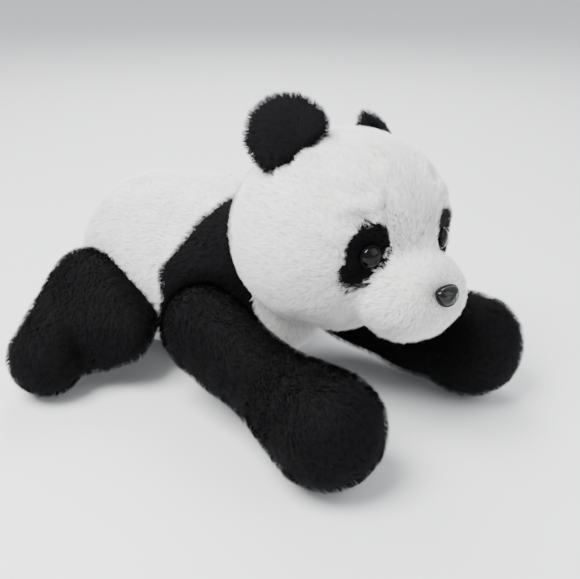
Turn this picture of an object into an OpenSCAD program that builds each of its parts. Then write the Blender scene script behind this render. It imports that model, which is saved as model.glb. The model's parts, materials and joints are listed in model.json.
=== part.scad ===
// Plush panda, lying on its belly with its arms stretched forward.
// Millimetres. +X is forward (nose), +Y is the toy's own left, +Z is up.
// The origin is a point on the flat patch of belly that it lies on, under the waist.

/* [Body] */
// Length of the stuffed body, rump to chest
body_length = 264; // [230:1:300]
// Thickness of the body across its back
body_width = 190; // [170:1:204]
// How far the chest is carried higher than the rump, degrees
body_pitch = 5; // [3:0.5:5.5]
// How deep the belly is pressed flat against the ground
belly_flat = 4; // [3.5:0.5:7]
// Thickness of the plush, backing and pile together
plush_t = 5; // [3:0.5:8]
// Thickness of the plush where the weight of the toy presses it flat
pressed_t = 2; // [1:0.5:3]
// Where the black shoulder yoke begins, ahead of the origin
yoke_start = 84; // [60:1:92]
// Angle that the white belly panel takes around the body
belly_angle = 76; // [50:1:110]

/* [Head] */
// Width of the head, ear side to ear side
head_width = 214; // [190:1:224]
// Height and depth of the head
head_height = 182; // [160:1:188]
// Middle of the head beyond the front end of the body (mm)
head_reach = 63.1; // [60.1:1:77.1]
// Middle of the head, above the ground
head_z = 176; // [173:1:185]
// Turn of the head to the toy's left, degrees
head_turn = -4; // [-8:1:8]
// Lean of the head to the toy's right side up, degrees
head_roll = -4; // [-5:1:5]
// Width of the strip that runs over the middle of the head
gusset_width = 46; // [30:1:60]

/* [Muzzle] */
// Width of the muzzle
muzzle_width = 110; // [90:1:124]
// Height of the muzzle
muzzle_height = 82; // [66:1:88]
// Middle of the muzzle ahead of the middle of the head
muzzle_x = 87; // [78:1:92]
// Middle of the muzzle below the middle of the head
muzzle_drop = 37; // [30:1:42]

/* [Face] */
// Distance between the two eyes
eye_spacing = 98; // [84:1:108]
// Height of the eyes above the middle of the head
eye_rise = 7; // [0:1:14]
// Diameter of each plastic eye
eye_d = 19; // [14:0.5:22]
// Height of each eye dome
eye_dome = 8; // [5:0.5:10]
// Width of each black eye patch
patch_width = 37; // [32:1:44]
// Length of each black eye patch
patch_length = 52; // [46:1:60]
// Slant of the eye patches, degrees
patch_slant = 28; // [10:1:40]
// Width of the plastic nose
nose_width = 27; // [20:1:34]
// Height of the plastic nose
nose_height = 20; // [15:1:24]

/* [Fastenings] */
// Diameter of the shanks of the eyes and the nose
shank_d = 5; // [4:0.5:6]
// Length of those shanks
shank_l = 17; // [14:1:20]
// Diameter of the locking washers
washer_d = 20; // [16:1:24]
// Thickness of the locking washers
washer_t = 2; // [1.5:0.5:3]

/* [Ears] */
// Diameter of each round ear
ear_d = 72; // [62:1:80]
// Thickness of each ear
ear_t = 16; // [12:1:18]
// Distance of the middle of each ear from the middle plane
ear_y = 61; // [54:1:66]
// Top of the ears' seam above the skull at its place (mm)
ear_out = 10.3; // [9.3:0.5:14.3]
// How much of the ear's radius stands below its middle, 0 to 1
ear_sink = 0.36; // [0.3:0.02:0.44]
// Outward turn of the ears, degrees
ear_yaw = 40; // [25:1:50]
// How far the ears lean back, degrees
ear_tilt = 30; // [15:1:35]
// How much farther back the left ear was sewn, degrees around the head
left_ear_back = 9; // [0:1:14]
// How much lower the left ear was sewn, degrees around the head
left_ear_low = 12; // [0:1:14]

/* [Arms] */
// Distance of the shoulders from the middle plane
shoulder_y = 88; // [86:1:92]
// Shoulders behind the front end of the body (mm)
shoulder_back = 23.9; // [19.9:1:29.9]
// Height of the shoulders
shoulder_z = 82; // [78:1:84]
// Thickness of the arm at the shoulder
arm_root_d = 86; // [76:1:90]
// Thickness of the arm above the paw
arm_mid_d = 74; // [66:1:76]
// Thickness of the paw
paw_d = 106; // [92:1:110]
// Right paw's middle in front of the shoulder (mm)
right_reach = 174; // [156:1:186]
// Right paw, distance from the middle plane
right_paw_y = 112; // [106:1:124]
// Left paw's middle in front of the shoulder (mm)
left_reach = 175; // [156:1:186]
// Left paw, distance from the middle plane
left_paw_y = 102; // [101:1:124]

/* [Hind legs] */
// Hips in front of the rear end of the body (mm)
hip_in = 82.1; // [74.1:1:90.1]
// Distance of the hips from the middle plane
hip_y = 100; // [98:1:104]
// Height of the hips
hip_z = 78; // [72:1:84]
// Thickness of the thigh
thigh_d = 88; // [78:1:92]
// Thickness of the foot
foot_d = 81; // [72:1:88]
// Feet in front of the hips (mm)
foot_reach = 42; // [14:1:50]
// Distance of the foot from the middle plane
foot_y = 186; // [170:1:200]

/* [Tail] */
// Length of the tail
tail_length = 42; // [30:1:55]
// Thickness of the tail
tail_d = 32; // [24:1:38]

/* [Labels] */
// Length of the blank sewn-in care label
label_length = 32; // [22:1:40]
// Width of the care label
label_width = 22; // [14:1:28]
// Across the tag fastener's loop
loop_d = 15; // [10:1:20]

/* [Fit] */
// Gap between a limb's root and the hollow that it is sewn into
limb_gap = 4; // [3.5:0.1:5]
// Gap around small soft joints
joint_gap = 0.8; // [0.6:0.1:1.5]
// Gap between the head and the shoulders' hollow
neck_gap = 1.0; // [0.8:0.1:2]

/* [Hidden] */

$fn = 48;
white_plush = "ivory";
black_plush = [0.06, 0.06, 0.07];
stuffing = "white";
eps = 0.01;

// ---- derived sizes ----
body_r = body_width / 2;
body_cx = -2;
rump_l = body_length * 0.508;
chest_l = body_length - rump_l;
front_x = body_cx + chest_l;
rear_x = body_cx - rump_l;
head_ry = head_width / 2;
head_r = head_height / 2;
head_y = 3;
head_x = front_x + head_reach;
// The hollow for the head is a ball that the head can turn inside, with room for the neck's filling
neck_r = max(head_ry * 0.975, head_r + 6) + neck_gap;
muzzle_r = muzzle_height / 2;
muzzle_ry = muzzle_width / 2;
shoulder_r = arm_root_d / 2;
hip_r = thigh_d / 2;
paw_r = paw_d / 2;
foot_r = foot_d / 2;
ear_r = ear_d / 2;

// ---- curves ----
function rev(a) = [for (i = [len(a) - 1:-1:0]) a[i]];
// Half outline of a stuffed egg: radius r, half lengths l0 and l1, powers p0 and p1,
// drawn from angle a0 to a1, where -90 is one tip and 90 the other
function egg(r, l0, l1, p0, p1, a0, a1, n, c) = [
  for (i = [0:n]) let (
    a = a0 + (a1 - a0) * i / n,
    s = sin(a),
    h = s < 0 ? c + s * l0 : c + s * l1,
    q = 1 - pow(abs(s), s < 0 ? p0 : p1)
  ) [abs(abs(a) - 90) < eps ? 0 : r * sqrt(max(q, 0)), h]
];
function body_curve(t, a0, a1, n = 12) =
  egg(body_r - t, rump_l - t, chest_l - t, 3.4, 3.6, a0, a1, n, body_cx);
// Radius of the body at a distance along its axis
function body_at(s) = let (u = s < body_cx ? (body_cx - s) / rump_l : (s - body_cx) / chest_l)
  body_r * sqrt(1 - pow(u, s < body_cx ? 3.4 : 3.6));
// How far the lowest point of the pitched body lies below the middle of its axis
body_low = max([for (s = [-90:2:0]) body_at(s) * cos(body_pitch) - s * sin(body_pitch)]);
body_z = body_low - belly_flat;
function join(a, b) = concat(a, [for (i = [1:len(b) - 1]) b[i]]);
function ball_curve(r, l, a0, a1, n = 12) = egg(r, l, l, 2.2, 2.2, a0, a1, n, 0);
// The whole outline of the skull, with breaks where its panels meet
function skull_curve(r, l) = join(join(ball_curve(r, l, -90, -gus_a, 14),
  ball_curve(r, l, -gus_a, gus_a, 6)), ball_curve(r, l, gus_a, 90, 14));
// Half outline of a limb: a ball at the root, a smooth waist, and a rounded end
function waist(u, r0, rm, r1) = u < 0.5
  ? r0 + (rm - r0) * (1 - cos(360 * u)) / 2
  : rm + (r1 - rm) * (1 - cos(360 * (u - 0.5))) / 2;
function root_curve(t, r0, n = 7) = [for (i = [0:n]) let (a = -90 + 90 * i / n)
  [i == 0 ? 0 : (r0 - t) * cos(a), (r0 - t) * sin(a)]];
function shaft_curve(t, r0, rm, r1, l, n = 10) = [for (i = [1:n])
  [waist(i / n, r0, rm, r1) - t, l * i / n]];
function tip_curve(t, r1, l, n = 8) = [for (i = [0:n]) let (a = 90 * i / n)
  [i == n ? 0 : (r1 - t) * cos(a), l + (r1 * 0.92 - t) * sin(a)]];

// ---- building blocks ----
module turned(curve) { rotate_extrude() polygon(curve); }
module panel(outer, inner, a0, a1) {
  rotate([0, 0, a0]) rotate_extrude(angle = a1 - a0) polygon(concat(outer, rev(inner)));
}
module mirror_if(on) { if (on) mirror([0, 1, 0]) children(); else children(); }
// Carries the Z axis onto the line from point a to point b
module along(a, b) {
  d = b - a;
  translate(a) rotate([0, acos(d[2] / norm(d)), atan2(d[1], d[0])]) children();
}
module body_place() {
  translate([0, 0, body_z]) rotate([0, 90 - body_pitch, 0]) children();
}
module head_place() {
  translate([head_x, head_y, head_z]) rotate([head_roll, 0, head_turn]) children();
}
module sideways() { rotate([-90, 0, 0]) children(); }
module above(z) {
  intersection() {
    children();
    translate([-400, -400, z]) cube([900, 800, 500]);
  }
}

// ---- places ----
shoulder_x = front_x - shoulder_back;
hip_x = rear_x + hip_in;
right_shoulder = [shoulder_x, -shoulder_y, shoulder_z];
left_shoulder = [shoulder_x, shoulder_y, shoulder_z];
right_paw = [shoulder_x + right_reach, -right_paw_y, paw_r + 0.3];
left_paw = [shoulder_x + left_reach, left_paw_y, paw_r + 0.3];
right_hip = [hip_x, -hip_y, hip_z];
left_hip = [hip_x, hip_y, hip_z];
right_foot = [hip_x + foot_reach, -foot_y, foot_r + 0.3];
left_foot = [hip_x + foot_reach, foot_y, foot_r + 0.3];
tail_root = [body_cx - rump_l + 2, 0, body_z - 4];
tail_r = tail_d / 2;

// Everything that swings inside the body's outline is given its own hollow
module body_hollows() {
  for (p = [right_shoulder, left_shoulder]) translate(p) sphere(r = shoulder_r + limb_gap);
  for (p = [right_hip, left_hip]) translate(p) sphere(r = hip_r + limb_gap);
  translate([head_x, head_y, head_z]) sphere(r = neck_r, $fn = 96);
  translate(tail_root) sphere(r = tail_r + limb_gap);
}

// ---- body ----
yoke_a = asin((yoke_start - body_cx) / chest_l);
side_a = belly_angle / 2;

module body_panel(a0, a1, b0, b1, n) {
  difference() {
    body_place() panel(body_curve(0, a0, a1, n), body_curve(plush_t, a0, a1, n), b0, b1);
    body_hollows();
  }
}
module body_side_right() { color(white_plush) body_panel(-90, yoke_a, 180, 360 - side_a, 16); }
module body_side_left() { color(white_plush) body_panel(-90, yoke_a, side_a, 180, 16); }
// Pressed flat underneath, where it keeps at least its pressed thickness
module belly_panel() {
  inner = body_curve(plush_t, -90, yoke_a, 16);
  color(white_plush) difference() {
    above(0) body_place() panel(body_curve(0, -90, yoke_a, 16), [[0, inner[16][1]], inner[16]],
      -side_a, side_a);
    above(pressed_t) body_place() turned(concat(inner, [[0, inner[16][1] + eps]]));
    body_hollows();
  }
}
module yoke_right() { color(black_plush) body_panel(yoke_a, 90, 180, 360 - side_a, 8); }
module yoke_left() { color(black_plush) body_panel(yoke_a, 90, side_a, 180, 8); }
module throat_panel() { color(white_plush) body_panel(yoke_a, 90, -side_a, side_a, 8); }

bag_z = 34;
module torso_filling() {
  color(stuffing) difference() {
    above(pressed_t) body_place()
      turned(join(body_curve(plush_t, -90, yoke_a, 16), body_curve(plush_t, yoke_a, 90, 8)));
    body_hollows();
    translate([-20, 0, bag_z]) pellet_bag(1);
  }
}
// A flat round pouch, lying in the belly
module pellet_bag(grow = 0) {
  turned(egg(36 + grow, 18 + grow, 18 + grow, 2.4, 2.4, -90, 90, 12, 0));
}
module belly_pellet_bag() { color("beige") translate([-20, 0, bag_z]) pellet_bag(); }

// A row of hand-sewn ladder stitches that closes the opening in the left flank seam
stitch_pitch = 6;
stitch_count = 9;
module closing_stitches() {
  color("whitesmoke") body_place() rotate([0, 0, side_a])
    for (i = [0:stitch_count - 1]) let (s = body_cx - 52 + i * stitch_pitch)
      translate([body_at(s) + 0.4, 0, s]) stitch(6, 0.5);
}
module stitch(l, r) {
  rotate([90, 0, 0]) cylinder(r = r, h = l, center = true, $fn = 16);
}

// Blank care label: a folded satin ribbon sewn into the left flank seam
label_s = 0.9;
module care_label() {
  color("white") difference() {
    body_place() rotate([0, 0, 112])
      translate([body_at(body_cx - label_s * rump_l), 0, body_cx - label_s * rump_l])
        rotate([0, 152, 0]) translate([0, 0, -3]) label_ribbon();
    body_place() turned(body_curve(0, -90, yoke_a, 16));
  }
}
// Two plies of ribbon, folded over at the far end
module label_ribbon() {
  ply = 0.8;
  difference() {
    translate([-ply - 0.6, -label_width / 2, 0]) cube([2 * ply + 1.2, label_width, label_length + 3]);
    translate([-0.6, -label_width / 2 - 1, -1]) cube([1.2, label_width + 2, label_length + 4 - ply]);
  }
}

// Thin nylon loop that held the shop's tag, shot through the top of the shoulders
loop_s = 88;
module tag_fastener() {
  color("white") body_place() translate([-body_at(loop_s) - loop_d * 0.34, -9, loop_s])
    rotate([0, -90, 0]) rotate([0, 0, 25]) {
      rotate([90, 0, 0]) rotate_extrude($fn = 64) translate([loop_d / 2, 0])
        circle(d = 0.9, $fn = 16);
      translate([0, 0, loop_d / 2]) rotate([0, 90, 0])
        cylinder(d = 2.2, h = 5, center = true, $fn = 24);
    }
}

// ---- neck ----
neck_aim = 30;
neck_plug_r = 42;
module neck_dish() {
  // The space between the shoulders' hollow and the back of the head
  intersection() {
    difference() {
      sphere(r = neck_r - joint_gap, $fn = 96);
      rotate([head_roll, 0, head_turn]) sideways()
        turned(skull_curve(head_r + joint_gap, head_ry + joint_gap));
    }
    rotate([0, -90 - neck_aim, 0]) cylinder(r = neck_plug_r, h = 200);
  }
}
module neck_filling() {
  color(stuffing) translate([head_x, head_y, head_z]) neck_dish();
}
// Strong thread that gathers the neck opening, lying in the body's hollow
module neck_thread() {
  color("whitesmoke") translate([head_x, head_y, head_z]) rotate([0, -90 - neck_aim, 0])
    translate([0, 0, sqrt(pow(neck_r - 2, 2) - pow(neck_plug_r + 1.2, 2))])
      rotate_extrude($fn = 96) translate([neck_plug_r + 1.2, 0]) circle(d = 1.6, $fn = 16);
}

// ---- head ----
gus_a = asin(gusset_width / head_width);
// Clearance between the muzzle and the stuffing that it lies on
lay_gap = 0.2;
module skull(t) { sideways() turned(skull_curve(head_r - t, head_ry - t)); }
module snout(t) {
  translate([muzzle_x, 0, -muzzle_drop]) sideways()
    turned(ball_curve(muzzle_r - t, muzzle_ry - t, -90, 90, 20));
}
module head_panel(a0, a1, b0, b1, n) {
  sideways() panel(ball_curve(head_r, head_ry, a0, a1, n),
    ball_curve(head_r - plush_t, head_ry - plush_t, a0, a1, n), b0, b1);
}
// Where an eye sits, with X pointing straight out of the face
eye_s = eye_spacing / 2;
eye_ring = head_r * sqrt(1 - pow(eye_s / head_ry, 2.2));
eye_x = sqrt(eye_ring * eye_ring - eye_rise * eye_rise);
eye_out = 21;
// How deep the eyes and the nose sit in the pile
seat = 3;
module eye_place(left) {
  mirror_if(!left) translate([eye_x, eye_s, eye_rise]) rotate([0, -4, eye_out]) children();
}
// A rounded slanting shape cut straight through the face
module patch_cut(left, h) {
  eye_place(left) rotate([patch_slant, 0, 0]) translate([-h, 0, 0])
    rotate([0, 90, 0]) linear_extrude(2 * h) {
      translate([-5, 1.5]) circle(d = patch_width, $fn = 64);
      translate([-5, 1.5 - patch_width * 0.36]) square([patch_length - patch_width / 2,
        patch_width * 0.72]);
      translate([patch_length - patch_width * 0.66 - 5, 1.5])
        circle(d = patch_width * 0.72, $fn = 64);
    }
}
module eye_patch() {
  difference() {
    intersection() {
      head_panel(gus_a, 90, -60, 60, 14);
      patch_cut(true, 30);
    }
    snout(0);
    eye_place(true) rotate([0, 90, 0]) {
      cylinder(d = shank_d, h = 60, center = true);
      translate([0, 0, -seat]) cylinder(d = eye_d + 0.4, h = 20);
    }
  }
}
module eye_patch_left() { color(black_plush) head_place() eye_patch(); }
module eye_patch_right() { color(black_plush) head_place() mirror([0, 1, 0]) eye_patch(); }
module head_side(left) {
  color(white_plush) difference() {
    head_panel(gus_a, 90, 0, 360, 14);
    patch_cut(true, 30);
    snout(0);
    ear_groove(left);
  }
}
module head_side_left() { head_place() head_side(true); }
module head_side_right() { head_place() mirror([0, 1, 0]) head_side(false); }
chin_a0 = 24;
chin_a1 = 158;
module head_gusset() {
  color(white_plush) head_place() difference() {
    head_panel(-gus_a, gus_a, chin_a1, 360 + chin_a0, 6);
    snout(0);
  }
}
module chin_panel() {
  color(white_plush) head_place() difference() {
    head_panel(-gus_a, gus_a, chin_a0, chin_a1, 6);
    snout(0);
  }
}
module head_filling() {
  color(stuffing) head_place() difference() {
    skull(plush_t);
    for (s = [0, 1]) mirror([0, s, 0]) {
      ear_groove(s == 0);
      eye_place(true) rotate([0, 90, 0]) fastener_space();
    }
  }
}
// Room in the stuffing for a shank and its washer, along +Z from the skin
module fastener_space() {
  cylinder(d = shank_d, h = 60, center = true);
  translate([0, 0, washer_at]) cylinder(d = washer_d + 0.6, h = 20);
}
washer_at = -plush_t - 1.6 - washer_t;
// A turn about its own axis keeps the round space's seam line off the muzzle's middle circle
space_turn = 11;

// ---- muzzle and nose ----
module muzzle_half(a0, a1) {
  color(white_plush) head_place() difference() {
    translate([muzzle_x, 0, -muzzle_drop]) sideways()
      panel(ball_curve(muzzle_r, muzzle_ry, a0, a1, 10),
        ball_curve(muzzle_r - plush_t, muzzle_ry - plush_t, a0, a1, 10), 0, 360);
    skull(plush_t - lay_gap);
    nose_place() {
      rotate([0, 90, 0]) cylinder(d = shank_d, h = 60, center = true);
      translate([-seat, 0, 0]) nose_block(0.3, 20);
    }
  }
}
module muzzle_cover_right() { muzzle_half(-90, 0); }
module muzzle_cover_left() { muzzle_half(0, 90); }
module muzzle_filling() {
  color(stuffing) head_place() difference() {
    snout(plush_t + lay_gap);
    skull(plush_t - lay_gap);
    nose_place() rotate([0, 90, 0]) rotate([0, 0, space_turn]) fastener_space();
  }
}
nose_tilt = 20;
module nose_place() {
  translate([muzzle_x, 0, -muzzle_drop]) rotate([0, -nose_tilt, 0])
    translate([muzzle_r, 0, 0]) children();
}
// Rounded triangle, wide at the top, pushed out along X
module nose_block(grow, h) {
  rotate([90, 0, 90]) linear_extrude(h) polygon([for (i = [0:47]) let (a = i * 7.5)
    [(nose_width / 2 + grow) * cos(a) * (1 + 0.26 * sin(a)),
      (nose_height / 2 + grow) * sin(a) * (1 + 0.06 * cos(2 * a))]]);
}
nose_dome = 11;
nose_ball = (pow(nose_width / 2, 2) + pow(nose_dome, 2)) / (2 * nose_dome) + 1.6;
module nose() {
  color("black") head_place() nose_place() {
    intersection() {
      translate([-seat, 0, 0]) nose_block(0, 30);
      translate([nose_dome - seat - nose_ball, 0, 0.5]) sphere(r = nose_ball, $fn = 64);
    }
    translate([-shank_l, 0, 0]) rotate([0, 90, 0]) cylinder(d = shank_d, h = shank_l - seat);
  }
}
module washer() {
  difference() {
    cylinder(d = washer_d, h = washer_t);
    translate([0, 0, -1]) cylinder(d = shank_d, h = washer_t + 2);
  }
}
module nose_washer() {
  color("gainsboro") head_place() nose_place() rotate([0, 90, 0])
    translate([0, 0, washer_at]) washer();
}
// Moulded safety eye: a glossy dome on a flange, with a shank behind
module eye_solid() {
  translate([0, 0, -seat]) turned(concat([[0, seat - shank_l], [shank_d / 2, seat - shank_l],
    [shank_d / 2, 0], [eye_d / 2, 0], [eye_d / 2, 1.4], [eye_d / 2 - 1, 1.9]],
    [for (i = [0:8]) let (a = 90 * i / 8)
      [i == 8 ? 0 : (eye_d / 2 - 1.4) * cos(a), 2.1 + (eye_dome - 2.1) * sin(a)]]));
}
module eye_left() { color("black") head_place() eye_place(true) rotate([0, 90, 0]) eye_solid(); }
module eye_right() { color("black") head_place() eye_place(false) rotate([0, 90, 0]) eye_solid(); }
module eye_washers() {
  color("gainsboro") head_place() for (left = [true, false]) eye_place(left)
    rotate([0, 90, 0]) translate([0, 0, washer_at]) washer();
}

// ---- ears ----
ear_lean = 43;
ear_drop = ear_r * ear_sink;
ear_gap = 4.4;
left_ear_out = 4;
ear_back = 12;
ear_ring = head_r * sqrt(1 - pow(ear_y / head_ry, 2.2));
ear_rise = sqrt(ear_ring * ear_ring - ear_back * ear_back) + ear_out;
ear_chord = sqrt(ear_r * ear_r - ear_drop * ear_drop);
// Hinge line of the left ear: X faces forward and out, Z points up the ear
module ear_place(left) {
  rotate([left ? -left_ear_low : 0, left ? -left_ear_back : 0, 0])
    translate([-ear_back, ear_y, ear_rise]) rotate([-ear_lean, -ear_tilt, ear_yaw])
      translate([0, 0, (left ? left_ear_out : 0) - ear_drop]) children();
}
// The seam in the head that the ear is sewn into, with room for it to fold
module ear_groove(left) {
  ear_place(left) rotate([90, 0, 0])
    cylinder(r = ear_t / 2 + ear_gap, h = 2 * ear_r + 8, center = true);
}
module ear_half(front) {
  s = front ? 0 : 180;
  rotate([0, 0, s]) {
    intersection() {
      translate([0, 0, ear_drop]) rotate([0, 90, 0]) turned(concat([[0, 0]],
        [for (i = [0:8]) let (a = 90 * i / 8)
          [i == 8 ? 0 : ear_r * cos(a), ear_t / 2 * pow(sin(a), 0.7)]]));
      translate([-1, -60, 0]) cube([40, 120, 120]);
    }
    intersection() {
      rotate([90, 0, 0]) cylinder(r = ear_t / 2, h = 2 * ear_chord - 14, center = true);
      translate([0, -60, -40]) cube([40, 120, 40]);
    }
  }
}
module ear_front_left() { color(black_plush) head_place() ear_place(true) ear_half(true); }
module ear_back_left() { color(black_plush) head_place() ear_place(true) ear_half(false); }
module ear_front_right() {
  color(black_plush) head_place() mirror([0, 1, 0]) ear_place(false) ear_half(true);
}
module ear_back_right() {
  color(black_plush) head_place() mirror([0, 1, 0]) ear_place(false) ear_half(false);
}

// ---- arms ----
function arm_curve(t, l) = concat(root_curve(t, shoulder_r),
  shaft_curve(t, shoulder_r, arm_mid_d / 2, paw_r, l), [for (p = tip_curve(t, paw_r, l))
    if (p[1] > l + eps) p]);
module arm_part(s, p, a0, a1) {
  l = norm(p - s);
  color(black_plush) along(s, p) panel(arm_curve(0, l), arm_curve(plush_t, l), a0, a1);
}
module arm_core(s, p) {
  l = norm(p - s);
  color(stuffing) along(s, p) difference() {
    turned(arm_curve(plush_t, l));
    translate([0, 0, l]) paw_bag(1);
  }
}
module paw_bag(grow = 0) { sphere(r = paw_r * 0.52 + grow); }
module arm_bag(s, p) { color("beige") translate(p) paw_bag(); }
module arm_top_right() { arm_part(right_shoulder, right_paw, 90, 270); }
module arm_under_right() { arm_part(right_shoulder, right_paw, -90, 90); }
module arm_filling_right() { arm_core(right_shoulder, right_paw); }
module paw_pellet_bag_right() { arm_bag(right_shoulder, right_paw); }
module arm_top_left() { arm_part(left_shoulder, left_paw, 90, 270); }
module arm_under_left() { arm_part(left_shoulder, left_paw, -90, 90); }
module arm_filling_left() { arm_core(left_shoulder, left_paw); }
module paw_pellet_bag_left() { arm_bag(left_shoulder, left_paw); }

// ---- hind legs ----
function leg_curve(t, l) = concat(root_curve(t, hip_r),
  shaft_curve(t, hip_r, (hip_r + foot_r) / 2, foot_r, l));
module leg_part(h, f, a0, a1) {
  l = norm(f - h);
  color(black_plush) along(h, f) panel(leg_curve(0, l), leg_curve(plush_t, l), a0, a1);
}
module leg_sole(h, f) {
  l = norm(f - h);
  color(black_plush) along(h, f)
    panel(tip_curve(0, foot_r, l), tip_curve(plush_t, foot_r, l), 0, 360);
}
module leg_core(h, f) {
  l = norm(f - h);
  color(stuffing) along(h, f) difference() {
    turned(concat(leg_curve(plush_t, l), [for (p = tip_curve(plush_t, foot_r, l))
      if (p[1] > l + eps) p]));
    translate([0, 0, l]) foot_bag(1);
  }
}
module foot_bag(grow = 0) { sphere(r = foot_r * 0.52 + grow); }
module leg_front_right() { leg_part(right_hip, right_foot, 0, 180); }
module leg_back_right() { leg_part(right_hip, right_foot, 180, 360); }
module foot_sole_right() { leg_sole(right_hip, right_foot); }
module leg_filling_right() { leg_core(right_hip, right_foot); }
module foot_pellet_bag_right() { color("beige") translate(right_foot) foot_bag(); }
module leg_front_left() { leg_part(left_hip, left_foot, 180, 360); }
module leg_back_left() { leg_part(left_hip, left_foot, 0, 180); }
module foot_sole_left() { leg_sole(left_hip, left_foot); }
module leg_filling_left() { leg_core(left_hip, left_foot); }
module foot_pellet_bag_left() { color("beige") translate(left_foot) foot_bag(); }

// ---- tail ----
module tail_place() { translate(tail_root) rotate([0, -62, 0]) children(); }
function tail_curve(t) = concat(root_curve(t, tail_r, 6),
  shaft_curve(t, tail_r, tail_r * 0.96, tail_r * 0.86, tail_length - 14, 4),
  [for (p = tip_curve(t, tail_r * 0.86, tail_length - 14, 6))
    if (p[1] > tail_length - 14 + eps) p]);
module tail_cover() {
  color(white_plush) tail_place() panel(tail_curve(0), tail_curve(4), 0, 360);
}
module tail_filling() { color(stuffing) tail_place() turned(tail_curve(4)); }

torso_filling();
belly_pellet_bag();
body_side_right();
body_side_left();
belly_panel();
yoke_right();
yoke_left();
throat_panel();
closing_stitches();
care_label();
tag_fastener();
neck_filling();
neck_thread();
head_filling();
head_side_right();
head_side_left();
head_gusset();
chin_panel();
muzzle_cover_right();
muzzle_cover_left();
muzzle_filling();
eye_patch_right();
eye_patch_left();
eye_right();
eye_left();
eye_washers();
nose();
nose_washer();
ear_front_right();
ear_back_right();
ear_front_left();
ear_back_left();
arm_top_right();
arm_under_right();
arm_filling_right();
paw_pellet_bag_right();
arm_top_left();
arm_under_left();
arm_filling_left();
paw_pellet_bag_left();
leg_front_right();
leg_back_right();
foot_sole_right();
leg_filling_right();
foot_pellet_bag_right();
leg_front_left();
leg_back_left();
foot_sole_left();
leg_filling_left();
foot_pellet_bag_left();
tail_cover();
tail_filling();
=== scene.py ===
# %% [markdown]
# # A plush panda lying on its belly
# The toy is sewn from panels of fur fabric, black and white, and stuffed. CAD holds its sizes and
# its joints. This lesson makes what the eye sees: swollen covers, the pile on them, glossy eyes and
# nose, and the small sewn things. Everything is in metres, in the frame of the CAD model.

# %% Load the frame
import json
import math
import bpy
import bmesh
import numpy as np
from mathutils import Matrix, Vector, kdtree
from mathutils.bvhtree import BVHTree

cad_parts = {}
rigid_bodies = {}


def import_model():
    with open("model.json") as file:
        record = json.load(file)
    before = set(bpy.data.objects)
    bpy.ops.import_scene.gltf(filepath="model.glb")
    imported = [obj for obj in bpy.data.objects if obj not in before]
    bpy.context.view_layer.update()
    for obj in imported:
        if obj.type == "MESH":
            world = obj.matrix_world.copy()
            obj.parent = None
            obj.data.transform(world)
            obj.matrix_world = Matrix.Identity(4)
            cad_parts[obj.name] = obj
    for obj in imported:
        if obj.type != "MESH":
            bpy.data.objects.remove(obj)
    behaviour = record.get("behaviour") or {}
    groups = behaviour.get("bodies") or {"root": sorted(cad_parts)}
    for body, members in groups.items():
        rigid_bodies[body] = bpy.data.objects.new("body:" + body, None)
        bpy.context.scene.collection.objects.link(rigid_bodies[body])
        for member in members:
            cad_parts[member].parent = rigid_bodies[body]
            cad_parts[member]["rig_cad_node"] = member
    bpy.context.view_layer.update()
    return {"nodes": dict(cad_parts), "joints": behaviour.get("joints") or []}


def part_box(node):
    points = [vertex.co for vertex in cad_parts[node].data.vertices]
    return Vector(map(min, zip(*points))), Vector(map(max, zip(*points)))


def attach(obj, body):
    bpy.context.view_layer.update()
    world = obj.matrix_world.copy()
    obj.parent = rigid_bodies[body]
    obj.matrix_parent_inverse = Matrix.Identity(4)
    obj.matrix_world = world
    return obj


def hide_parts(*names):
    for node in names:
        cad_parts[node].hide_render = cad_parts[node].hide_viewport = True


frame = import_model()
MM = 0.001

# %% [markdown]
# Where things are comes from the record. The joints give the middle of the head and the way it
# faces, the shoulders, the hips and the tail's root.

# %% Places and directions from the joints
joints = {j["name"]: j for j in frame["joints"]}


def place(joint):
    return np.array(joints[joint]["pos_m"], float)


def unit(v):
    v = np.asarray(v, float)
    return v / np.linalg.norm(v, axis=-1, keepdims=True)


UP = np.array([0.0, 0.0, 1.0])
head_mid = place("neck_nod")
head_y = unit(joints["neck_nod"]["axis"])
head_x = unit(np.cross(head_y, UP))
head_z = np.cross(head_x, head_y)
HEAD = np.array([head_x, head_y, head_z])


def to_head(p):
    """Points in millimetres from the middle of the head: forward, left, up."""
    return (np.asarray(p) - head_mid) @ HEAD.T / MM


def from_head(p):
    return head_mid + np.asarray(p, float) * MM @ HEAD


def middle_of(*nodes):
    corners = [np.array(c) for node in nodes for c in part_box(node)]
    return (np.min(corners, 0) + np.max(corners, 0)) / 2


print("head at", np.round(head_mid / MM, 1), "facing", np.round(head_x, 3))

# %% [markdown]
# The stage is a plain pale floor with soft light from above and from the toy's right, one from
# behind on its left, and a weak fill from its front, so that both the white and the black pile
# keep their shape.

# %% Floor, light and camera
scene = bpy.context.scene


def clear_selection():
    bpy.ops.object.select_all(action="DESELECT")


def use(obj):
    """Makes this the one selected and active object."""
    clear_selection()
    obj.select_set(True)
    bpy.context.view_layer.objects.active = obj
    return obj


def new_material(name, **values):
    """A material whose Principled shader has these constants on its own sockets."""
    material = bpy.data.materials.new(name)
    material.use_nodes = True
    shader = material.node_tree.nodes["Principled BSDF"]
    for socket, value in values.items():
        shader.inputs[socket.replace("_", " ")].default_value = value
    return material, material.node_tree, shader


clear_selection()
bpy.ops.mesh.primitive_plane_add(size=40)
floor = bpy.context.object
floor.name = "floor"
floor_material = new_material("pale_floor", Base_Color=(0.76, 0.765, 0.775, 1), Roughness=0.9)[0]
floor.data.materials.append(floor_material)

world = bpy.data.worlds.new("studio")
scene.world = world
world.use_nodes = True
world.node_tree.nodes["Background"].inputs[0].default_value = (0.95, 0.97, 1.0, 1)
world.node_tree.nodes["Background"].inputs[1].default_value = 0.9

look_at = Vector((0.09, 0, 0.09))


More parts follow.
